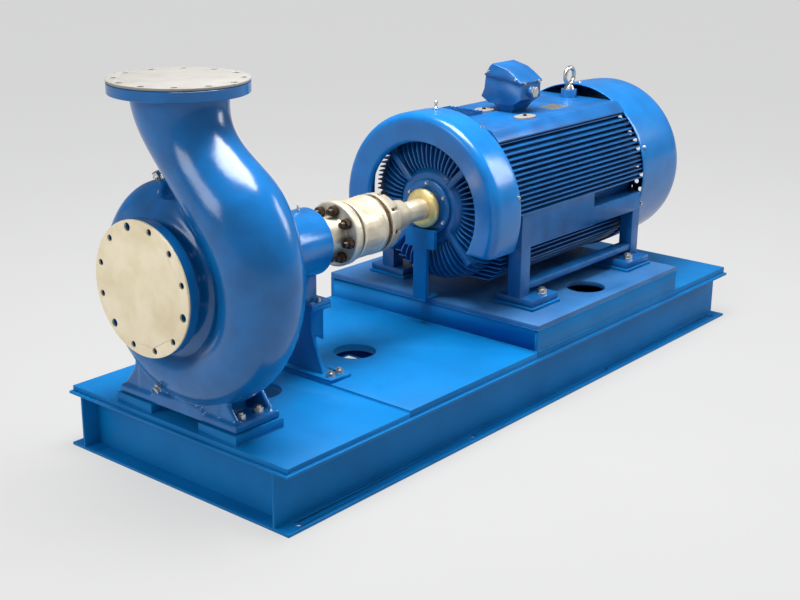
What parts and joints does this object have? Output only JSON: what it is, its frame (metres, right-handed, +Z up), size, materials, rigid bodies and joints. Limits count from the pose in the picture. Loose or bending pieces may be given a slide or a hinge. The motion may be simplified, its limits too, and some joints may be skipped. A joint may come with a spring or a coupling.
{
  "type": "centrifugal water pump set",
  "caption": "End-suction centrifugal pump with volute casing, disc coupling and finned electric motor, bolted to a welded steel base frame.",
  "frame": {"origin": "on the floor plane under the shaft line, on the underside of the cross beam halfway between the suction cover's face and the rear end of the base", "axes": "+X along the shaft from pump to motor, +Y across the base to the far side as seen from the terminal box entry side, +Z up"},
  "size_m": [2.9915, 1.08, 1.355],
  "materials": {
    "blue_paint": "gloss enamel over cast iron and steel",
    "cream_paint": "satin shop primer on the blank plates",
    "machined_steel": "turned and milled",
    "bright_fasteners": "zinc plated",
    "dark_nuts": "black oxide",
    "brass_ring": "turned",
    "sleeve_bronze": "ground",
    "spring_steel": "browned spring steel",
    "gasket_fibre": "matt fibre",
    "cast_iron_bare": "as cast",
    "lamination": "varnished laminations",
    "winding": "varnished winding",
    "fan_plastic": "moulded",
    "rating_metal": "etched blank plate",
    "bearing_steel": "ground and polished"
  },
  "bodies": {
    "skid": {"bearing_bracket": "blue_paint", "bearing_cover_inner": "blue_paint", "bearing_cover_outer": "blue_paint", "bearing_pedestal": "blue_paint", "casing_cover": "blue_paint", "casing_cover_studs": "bright_fasteners", "casing_foot_bolts": "bright_fasteners", "casing_foot_pads": "blue_paint", "casing_plugs": "bright_fasteners", "casing_wear_rings": "sleeve_bronze", "cross_beams": "blue_paint", "discharge_blank_plate": "cream_paint", "drive_bearing_cap": "blue_paint", "drive_end_hood": "blue_paint", "drive_end_shield": "blue_paint", "end_beams": "blue_paint", "end_windings": "winding", "fan_cowl": "blue_paint", "flange_gaskets": "gasket_fibre", "guard_post": "blue_paint", "lifting_eye": "bright_fasteners", "long_beam_far": "blue_paint", "long_beam_near": "blue_paint", "middle_deck_plate": "blue_paint", "motor_bearing_outer_rings": "bearing_steel", "motor_feet": "blue_paint", "motor_foot_bolts": "bright_fasteners", "motor_foot_packers": "blue_paint", "motor_frame": "blue_paint", "pedestal_bolts": "bright_fasteners", "plinth_top_plate": "blue_paint", "plinth_walls": "blue_paint", "pump_bearing_outer_rings": "bearing_steel", "pump_deck_plate": "blue_paint", "rating_plate": "rating_metal", "rear_deck_plate": "blue_paint", "rear_end_shield": "blue_paint", "seal_gland": "cast_iron_bare", "stator_core": "lamination", "suction_blank_plate": "cream_paint", "terminal_box": "blue_paint", "terminal_box_lid": "blue_paint", "volute_casing": "blue_paint"},
    "pump_rotor": {"impeller": "cast_iron_bare", "impeller_nut": "bright_fasteners", "pump_shaft": "machined_steel", "pump_shaft_keys": "machined_steel", "shaft_sleeve": "sleeve_bronze", "pump_bearing_inner_rings": "bearing_steel", "pump_coupling_hub": "machined_steel"},
    "coupling": {"coupling_spacer": "machined_steel", "coupling_disc_packs": "spring_steel", "coupling_bolts": "dark_nuts"},
    "motor_rotor": {"motor_shaft": "machined_steel", "motor_shaft_key": "machined_steel", "shaft_flinger": "brass_ring", "rotor_core": "lamination", "motor_fan": "fan_plastic", "motor_bearing_inner_rings": "bearing_steel", "motor_coupling_hub": "machined_steel"}
  },
  "joints": [
    {"name": "motor_spin", "type": "hinge", "parent": "skid", "child": "motor_rotor", "pos_m": [0, 0, 0.715], "axis": [1, 0, 0], "continuous": true},
    {"name": "pump_spin", "type": "hinge", "parent": "skid", "child": "pump_rotor", "pos_m": [0, 0, 0.715], "axis": [1, 0, 0], "continuous": true},
    {"name": "coupling_spin", "type": "hinge", "parent": "skid", "child": "coupling", "pos_m": [0, 0, 0.715], "axis": [1, 0, 0], "continuous": true}
  ],
  "couplings": [
    {"joint": "pump_spin", "follows": "motor_spin", "ratio": 1},
    {"joint": "coupling_spin", "follows": "motor_spin", "ratio": 1}
  ]
}
